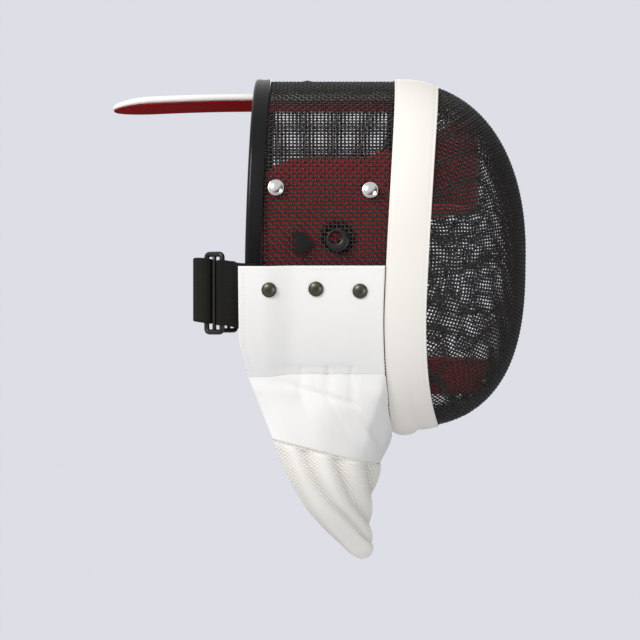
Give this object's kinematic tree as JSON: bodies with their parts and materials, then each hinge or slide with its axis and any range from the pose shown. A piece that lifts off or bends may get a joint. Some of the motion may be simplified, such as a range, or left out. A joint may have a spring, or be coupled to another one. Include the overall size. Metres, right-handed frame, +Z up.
{
  "type": "fencing mask",
  "caption": "Fencing mask: an egg-shaped woven-wire bowl and side mesh joined under a padded band, with a fabric bib, spring tongue, rear strap and head pads.",
  "frame": {"origin": "middle of the tongue's underside over the head, where the crown of the wearer's head sits", "axes": "+X the way the wearer looks, +Y the wearer's left, +Z up; the mask is the same on both sides of the XZ plane"},
  "size_m": [0.3333, 0.2192, 0.3881],
  "materials": {
    "painted_wire": "satin black enamel on woven steel wire",
    "black_edging": "glossy black plastic edging",
    "white_band": "smooth warm white coated band",
    "white_bib": "white coated tight-weave fabric, lightly quilted",
    "ribbed_knit": "cream ribbed conductive knit in padded flutes",
    "tongue_fabric": "white coated fabric over a padded steel spring",
    "red_lining": "deep red fleece lining",
    "red_pad": "dark red padded fabric",
    "black_plastic": "moulded black plastic",
    "black_patch": "matt black plastic",
    "black_webbing": "black woven webbing",
    "bright_snap": "polished domed cap",
    "dark_snap": "dark gunmetal domed cap"
  },
  "bodies": {
    "root": {"front_mesh": "painted_wire", "rear_mesh": "painted_wire", "rear_trim": "black_edging", "joint_band": "white_band", "side_flap_left": "white_bib", "side_flap_right": "white_bib", "throat_bib": "white_bib", "ribbed_bib": "ribbed_knit", "tongue_cover": "tongue_fabric", "tongue_lining": "red_lining", "tongue_spacer": "black_plastic", "crown_rivet": "black_plastic", "mesh_snap_rear_left": "bright_snap", "mesh_snap_front_left": "bright_snap", "mesh_snap_rear_right": "bright_snap", "mesh_snap_front_right": "bright_snap", "bib_snap_rear_left": "dark_snap", "bib_snap_middle_left": "dark_snap", "bib_snap_front_left": "dark_snap", "bib_snap_rear_right": "dark_snap", "bib_snap_middle_right": "dark_snap", "bib_snap_front_right": "dark_snap", "ear_ring_left": "black_plastic", "ear_ring_right": "black_plastic", "side_patch_left": "black_patch", "side_patch_right": "black_patch", "strap_tab_left": "black_webbing", "strap_tab_right": "black_webbing", "rear_strap": "black_webbing", "strap_loop_left": "black_plastic", "strap_loop_right": "black_plastic", "side_pad_left": "red_pad", "side_pad_right": "red_pad", "forehead_pad": "red_pad", "chin_pad": "red_pad"}
  },
  "joints": []
}
